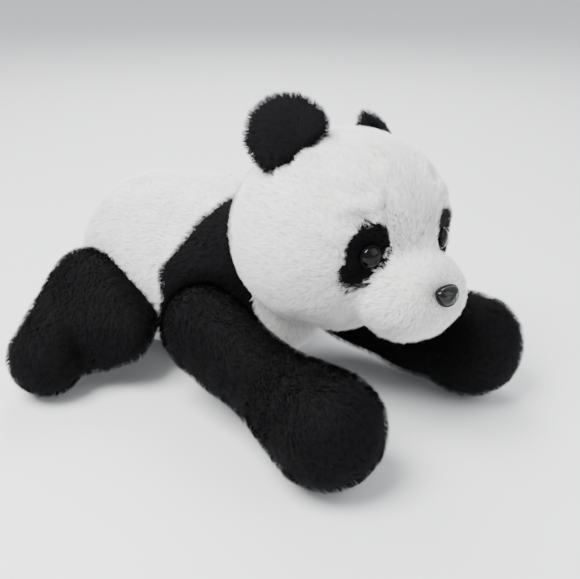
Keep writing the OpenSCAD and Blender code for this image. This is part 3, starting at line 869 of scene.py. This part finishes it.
def look_along(obj, axis, upwards, at):
    """Turns a piece's own mesh so that its Z looks along an axis, and puts it in place."""
    z = Vector(axis).normalized()
    x = Vector(upwards).cross(z).normalized()
    turn = Matrix((x, z.cross(x), z)).transposed().to_4x4()
    obj.data.transform(Matrix.Translation(Vector(at)) @ turn)
    obj.data.update()


def front_of(node, axis):
    """How far a CAD node reaches along an axis, and its middle across it."""
    co = points(frame["nodes"][node])
    reach = (co @ axis).max()
    cap = co[co @ axis > reach - 2 * MM]
    middle = (cap.min(0) + cap.max(0)) / 2
    return reach, middle - axis * (middle @ axis)


def lock(name, axis, at, node):
    """A ribbed plastic washer on a shank: a disc whose two faces are inset and bridged to a hole."""
    clear_selection()
    bpy.ops.mesh.primitive_cylinder_add(vertices=32, radius=WASHER_RADIUS, depth=WASHER_THICK)
    washer = bpy.context.object
    washer.name = name
    bpy.ops.object.mode_set(mode="EDIT")
    select_faces(washer, lambda middle, normal: abs(normal.z) > 0.9)
    bpy.ops.mesh.inset(thickness=3 * MM, use_individual=True)
    bpy.ops.mesh.inset(thickness=1 * MM, depth=-0.5 * MM, use_individual=True)
    bpy.ops.mesh.inset(thickness=3 * MM, use_individual=True)
    bpy.ops.mesh.bridge_edge_loops()
    bpy.ops.object.mode_set(mode="OBJECT")
    apply_modifier(washer, "BEVEL", width=0.2 * MM, segments=2, limit_method="ANGLE")
    look_along(washer, axis, head_z, at)
    bpy.ops.object.shade_smooth_by_angle(angle=math.radians(35))
    dress(washer, washer_plastic, "head", "washer_plastic", node)
    print(name, len(washer.data.polygons), "faces")


EYE_OUT, EYE_UP = math.radians(21), math.radians(4)
EYE_RADIUS, EYE_LOWER, EYE_SUNK, EYE_DOME = 9.5 * MM, 4 * MM, 11.6 * MM, 8.6 * MM
EYE_WASHER_BEHIND, NOSE_WASHER_BEHIND = 23 * MM, 25 * MM
eye_axes = {}
for side, s in SIGNS.items():
    axis = np.array([math.cos(EYE_OUT) * math.cos(EYE_UP), s * math.sin(EYE_OUT) * math.cos(EYE_UP),
                     math.sin(EYE_UP)]) @ HEAD
    reach, across = front_of("eye_" + side, axis)
    eye = dome("eye_dome_" + side, EYE_RADIUS, 0.8 * MM, 4.6 * MM, 1.6 * MM)
    across = across - head_z * EYE_LOWER
    look_along(eye, axis, head_z, across + axis * (reach - EYE_SUNK))
    eye_axes[side] = (axis, across + axis * (reach - EYE_DOME))
    dress(eye, eye_black, "head", "eye_plastic", "eye_" + side)
    lock(f"eye_washer_{side}", axis, across + axis * (reach - EYE_WASHER_BEHIND), "eye_washers")


# %% The nose, with two shallow nostrils
def triangle_outline(co):
    """Makes a round outline a rounded triangle, wide at the top."""
    angle = np.arctan2(co[:, 1], co[:, 0])
    out = co.copy()
    out[:, 0] *= 1 + 0.24 * np.sin(angle)
    out[:, 1] *= 0.74 * (1 + 0.10 * np.cos(2 * angle))
    return out


nose = dome("nose_cap", 13.6 * MM, 0.9 * MM, 7.2 * MM, 2.2 * MM, rings=8, outline=triangle_outline)
apply_modifier(nose, "SUBSURF", levels=1, render_levels=1)
co = points(nose)
for s in (-1, 1):
    spot = np.array([s * 5.6, -1.4]) * MM
    near = np.linalg.norm((co[:, :2] - spot) / np.array([2.6, 1.7]) / MM, axis=1)
    co[:, 2] -= np.where(co[:, 2] > 3 * MM, 1.0 * MM * np.exp(-near ** 2), 0)
groove = np.exp(-(co[:, 0] / (1.3 * MM)) ** 2) * soft_step(-co[:, 1], 1 * MM, 7 * MM)
co[:, 2] -= np.where(co[:, 2] > 3 * MM, 0.8 * MM * groove, 0)
set_points(nose, co)
NOSE_UP, NOSE_LOWER, NOSE_SUNK = math.radians(20), 3 * MM, 13.0 * MM
nose_axis = np.array([math.cos(NOSE_UP), 0, math.sin(NOSE_UP)]) @ HEAD
reach, across = front_of("nose", nose_axis)
look_along(nose, nose_axis, head_z, across - head_z * NOSE_LOWER + nose_axis * (reach - NOSE_SUNK))
dress(nose, nose_black, "head", "nose_plastic", "nose")
lock("nose_lock", nose_axis, across + nose_axis * (reach - NOSE_WASHER_BEHIND), "nose_washer")
print("nose", len(nose.data.polygons), "faces")

# %% [markdown]
# ## The pile
# Fur fabric is a knitted backing with fibres eight to ten millimetres long on it. The fibres lean
# the way the cloth was brushed, bend over at the tips and cling together in small tufts. Hair
# curves would be quick, but here each fibre bundle has to be a mesh that can be kept and exported,
# so every one is a thin ribbon of three triangles. They are placed by numpy with a fixed seed:
# hundreds of thousands of them can't be placed by hand.

# %% Waves of chance that change slowly over the toy
def waves(p, size, seed):
    """Smooth values from about -1 to 1, whose bumps are about size millimetres apart."""
    rng = np.random.default_rng(seed)
    value = np.zeros(len(p))
    for _ in range(6):
        direction = unit(rng.normal(size=3))
        value += np.sin(p @ direction * 2 * math.pi / (size * MM * rng.uniform(0.7, 1.4))
                        + rng.uniform(0, 2 * math.pi))
    return value / 2.5


def turned_about(v, axis, angle):
    """Vectors v turned about unit axes by angles in radians."""
    c, s = np.cos(angle)[:, None], np.sin(angle)[:, None]
    return v * c + np.cross(axis, v) * s + axis * (axis * v).sum(1, keepdims=True) * (1 - c)


# %% Choose the roots of the strands on a skin
def roots_on(skin, density, chance, seed):
    """Random points on a skin with their smooth normals, density of them a square millimetre."""
    rng = np.random.default_rng(seed)
    mesh = skin.data
    mesh.calc_loop_triangles()
    tri = np.array([t.vertices[:] for t in mesh.loop_triangles])
    face = np.array([t.polygon_index for t in mesh.loop_triangles])
    co, out = points(skin), normals(skin)
    a, b, c = (co[tri[:, k]] for k in range(3))
    area = np.linalg.norm(np.cross(b - a, c - a), axis=1) / 2
    total = np.cumsum(area)
    count = int(total[-1] / MM ** 2 * density)
    pick = np.searchsorted(total, rng.uniform(0, total[-1], count))
    u, v = rng.uniform(size=(2, count))
    over = u + v > 1
    u[over], v[over] = 1 - u[over], 1 - v[over]
    w = 1 - u - v
    t = tri[pick]
    p = co[t[:, 0]] * w[:, None] + co[t[:, 1]] * u[:, None] + co[t[:, 2]] * v[:, None]
    n = unit(out[t[:, 0]] * w[:, None] + out[t[:, 1]] * u[:, None] + out[t[:, 2]] * v[:, None])
    kept = rng.uniform(size=count) < chance(p, n, face[pick])
    return p[kept], n[kept], rng


# %% Comb, bend and gather the strands
def comb(p, n, rng, length, flow, lean, tuft, gather, seed):
    """Middle and tip of each strand, leaning along flow and gathered into tufts."""
    along = flow - (flow * n).sum(1, keepdims=True) * n
    along = unit(along + 1e-6)
    swirl = np.radians(16 * waves(p, 38, seed) + 12 * waves(p, 11, seed + 1) + rng.normal(0, 15, len(p)))
    along = turned_about(along, n, swirl)
    lift = np.radians(lean[0] + 8 * waves(p, 24, seed + 2) + rng.normal(0, 6, len(p)))
    over = np.radians(lean[1] + rng.normal(0, 11, len(p)))
    half = (length * rng.uniform(0.72, 1.12, len(p)) / 2)[:, None]
    middle = p + half * (n * np.cos(lift)[:, None] + along * np.sin(lift)[:, None])
    tip = middle + half * (n * np.cos(over)[:, None] + along * np.sin(over)[:, None])
    leaders = rng.choice(len(p), max(2, int(len(p) / tuft)), replace=False)
    tree = kdtree.KDTree(len(leaders))
    for i, leader in enumerate(leaders):
        tree.insert(p[leader], i)
    tree.balance()
    own = leaders[[tree.find(root)[1] for root in p]]
    step = p - p[own]
    pull = (gather * rng.uniform(0.5, 1.0, len(p)))[:, None]
    tip += (tip[own] + step * 0.25 - tip) * pull
    middle += (middle[own] + step * 0.75 - middle) * pull * 0.6
    for level in (middle, tip):
        level[:, 2] = np.maximum(level[:, 2], 0.6 * MM)
    return middle, tip


# %% Turn strands into thin ribbons
MOST_STRANDS = 65000


def ribbons(name, p, n, middle, tip, width, rng):
    """Mesh pieces of up to 65 000 strands, each strand three triangles with its own strip of UV."""
    order = np.argsort(p[:, 0], kind="stable")
    made = []
    groups = np.array_split(order, max(1, math.ceil(len(order) / MOST_STRANDS)))
    for number, part in enumerate(groups):
        q, out, mid, end = p[part], n[part], middle[part], tip[part]
        half = unit(np.cross(end - q, out) + 1e-9) * (width * MM / 2)
        half *= rng.uniform(0.7, 1.3, (len(part), 1))
        root = q - out * 0.6 * MM
        co = np.stack([root - half, root + half, mid - half * 0.8, mid + half * 0.8, end], 1)
        first = np.arange(len(part))[:, None] * 5
        faces = np.concatenate([first + k for k in ((0, 1, 3), (0, 3, 2), (2, 3, 4))], 1)
        mesh = bpy.data.meshes.new(name)
        mesh.from_pydata(co.reshape(-1, 3), [], faces.reshape(-1, 3))
        chance = rng.uniform(0.02, 0.98, len(part))
        uv = np.zeros((len(part), 5, 2))
        uv[:, :, 0] = chance[:, None] + np.array([-1, 1, -0.8, 0.8, 0]) * 0.012
        uv[:, :, 1] = [0.01, 0.01, 0.5, 0.5, 0.99]
        loops = np.empty(len(mesh.loops), np.int32)
        mesh.loops.foreach_get("vertex_index", loops)
        layer = mesh.uv_layers.new(name="OFBake")
        layer.data.foreach_set("uv", uv.reshape(-1, 2)[loops].astype(np.float32).ravel())
        ribbon = unit(np.cross(half, end - q))
        soft = unit(out + 0.45 * ribbon + 0.2 * unit(end - q))
        mesh.normals_split_custom_set_from_vertices(np.repeat(soft, 5, axis=0).astype(np.float32))
        piece = bpy.data.objects.new(name if len(groups) == 1 else f"{name}_{number + 1}", mesh)
        scene.collection.objects.link(piece)
        made.append(piece)
    print(name, len(p), "strands in", len(made), "pieces")
    return made


def pile(name, skin, body_name, slot, material, density=1.0, length=8.5, flow=None, lean=(38, 72),
         tuft=14, gather=0.5, width=0.38, chance=lambda p, n, face: 1.0, seed=1):
    """Grows the pile of one skin, or of the part of it where chance is above 0."""
    p, n, rng = roots_on(skin, density, chance, seed)
    size = np.full(len(p), length * MM) if np.isscalar(length) else length(p, n) * MM
    middle, tip = comb(p, n, rng, size, flow(p, n), lean, tuft, gather, seed + 10)
    for piece in ribbons(name, p, n, middle, tip, width, rng):
        dress(piece, material, body_name, slot)

# %% [markdown]
# The pile is brushed from the nose back over the head, from the shoulders back and down over the
# body, and out along each limb. Each way is a direction at every point; what isn't along the skin
# is taken away when the strands are combed.

# %% Ways that the pile is brushed
def from_nose(p, n):
    q = to_head(p)
    back = np.stack([-0.9 * np.ones(len(q)), q[:, 1] / 70, (q[:, 2] + 8) / 60], 1)
    back[:, 2] -= 0.55 * soft_step(-q[:, 2], 10, 60)
    return unit(back) @ HEAD


def down_back(p, n):
    return unit(np.array([-1.0, 0.0, -0.75])) + np.zeros_like(p)


def along(start, end, droop=0.35):
    way = unit(np.asarray(end) - np.asarray(start))

    return lambda p, n: unit(way + np.array([0, 0, -droop])) + np.zeros_like(p)


def outwards_from(middle):
    return lambda p, n: unit(p - middle)

# %% Grow the pile of the whole toy
PILE = 8.5
arm_ends = {side: middle_of("paw_pellet_bag_" + side) for side in SIDES}
leg_ends = {side: middle_of("foot_pellet_bag_" + side) for side in SIDES}
WHITE, BLACK = "white_plush", "black_plush"


def only(labels, wanted, base):
    """Chance of a strand: a base chance on faces whose panel is wanted, none elsewhere."""
    hit = np.isin(labels, wanted).astype(float)
    return lambda p, n, face: hit[face] * base(p, n)


def sparse_below(p, n):
    return 1 - 0.55 * soft_step(-n[:, 2], 0.5, 0.95)


def parted(size, p, name):
    """Shorter strands along the folds, where the pile parts."""
    for line in partings[name]:
        size = size * (0.62 + 0.38 * soft_step(far_from(p, line), 1 * MM, 8 * MM))
    return size


def face_length(p, n):
    """Short round the eyes and the nose, full on the cheeks and the crown."""
    q = to_head(p)
    size = np.full(len(q), PILE)
    for side in SIDES:
        spot = to_head(eye_axes[side][1])
        size *= 0.5 + 0.5 * soft_step(np.linalg.norm(q - spot, axis=1), 10, 26)
    far_nose = np.linalg.norm(q - to_head(nose_spot), axis=1)
    size *= 0.5 + 0.5 * soft_step(far_nose, 12, 40)
    return parted(size, p, "head")


EYE_CLEAR, BEHIND_FACE = 8 * MM, 25 * MM
NOSE_CLEAR = np.array([20, 11.5, 8.0])
HEAD_CLEAR, SHOULDER_CLEAR, HIP_CLEAR = -1 * MM, 37 * MM, 38 * MM


def clear_of_face(p, n):
    """No strands under the plastic eyes and nose."""
    keep = np.ones(len(p))
    for side in SIDES:
        axis, spot = eye_axes[side]
        away = (p - spot) - ((p - spot) @ axis)[:, None] * axis
        behind = (p - spot) @ axis < -BEHIND_FACE
        keep *= (np.linalg.norm(away, axis=1) > EYE_CLEAR) | behind
    q = (to_head(p) - to_head(nose_spot)) / NOSE_CLEAR
    return keep * (np.linalg.norm(q, axis=1) > 1) * sparse_below(p, n)


def body_chance(p, n):
    """No strands where the head, an arm or a leg lies on the body."""
    free = gap_to_head(p)[0] > HEAD_CLEAR
    for side in SIDES:
        free &= np.linalg.norm(p - place("shoulder_" + side), axis=1) > SHOULDER_CLEAR
        free &= np.linalg.norm(p - place("hip_" + side), axis=1) > HIP_CLEAR
    return free * sparse_below(p, n)


dark_head = ["eye_patch_right", "eye_patch_left"]
white_head = sorted(set(head_labels) - set(dark_head))
pile("head_pile", head, "head", WHITE, white_pile, density=1.6, length=face_length, flow=from_nose,
     width=0.3, chance=only(head_labels, white_head, clear_of_face), seed=11)
pile("eye_patch_pile", head, "head", BLACK, black_pile, density=2.0,
     length=lambda p, n: np.maximum(face_length(p, n), 0.62 * PILE) * 1.1, flow=from_nose,
     width=0.34, chance=only(head_labels, dark_head, clear_of_face), seed=12)
yokes = ["yoke_right", "yoke_left"]
white_body = sorted(set(body_labels) - set(yokes))
pile("body_pile", body, "torso", WHITE, white_pile, density=1.15,
     length=lambda p, n: parted(np.full(len(p), PILE), p, "torso"), flow=down_back,
     width=0.33, chance=only(body_labels, white_body, body_chance), seed=13)
pile("yoke_pile", body, "torso", BLACK, black_pile, density=0.9, length=PILE, flow=down_back,
     chance=only(body_labels, yokes, body_chance), seed=14)
CORE_MIDDLE, CORE_RADII = np.array([0, 0, 0.095]), np.array([140, 84, 84]) * MM


def out_of_core(p, n, face):
    """No strands on the end of a limb that lies inside the body."""
    return (np.linalg.norm((p - CORE_MIDDLE) / CORE_RADII, axis=1) > 1) * sparse_below(p, n)


for number, side in enumerate(SIDES):
    arm_way = along(place("shoulder_" + side), arm_ends[side])
    leg_way = along(place("hip_" + side), leg_ends[side])
    pile("arm_pile_" + side, limbs["arm_" + side], "arm_" + side, BLACK, black_pile, density=0.8,
         length=PILE, flow=arm_way, chance=out_of_core, seed=20 + number)
    pile("leg_pile_" + side, limbs["leg_" + side], "leg_" + side, BLACK, black_pile, density=0.75,
         length=PILE, flow=leg_way, chance=out_of_core, seed=30 + number)
    pile("ear_pile_" + side, ears[side], "ear_" + side, BLACK, black_pile, density=1.4, length=PILE,
         flow=outwards_from(place("ear_fold_" + side)), lean=(28, 58), seed=40 + number)
pile("tail_pile", tail, "tail", WHITE, white_pile, density=1.1, length=PILE,
     flow=along(place("tail_wag"), middle_of("tail_cover")), seed=50)

# %% Put the skins away and finish
for skin in skins.values():
    bpy.data.objects.remove(skin, do_unlink=True)
TAG_SHIFT = np.array([-26, 8, 3.5]) * MM
tag_loop = copy_of("tag_loop", "tag_fastener")
set_points(tag_loop, points(tag_loop) + TAG_SHIFT)
use(tag_loop)
bpy.ops.object.shade_smooth()
dress(tag_loop, clear_nylon, "torso", "nylon", "tag_fastener")
finishes = {"washer": washer_plastic, "label": label_satin,
            "stitches": thread_white, "thread": thread_white, "pellet": pellet_cloth}
for piece in list(scene.objects):
    if "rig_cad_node" in piece and not piece.hide_render:
        node = piece["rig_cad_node"]
        finish = next((f for part, f in finishes.items() if part in node), stuffing_fibre)
        piece.data.materials.clear()
        piece.data.materials.append(finish)
        print(node, "has the finish", finish.name)
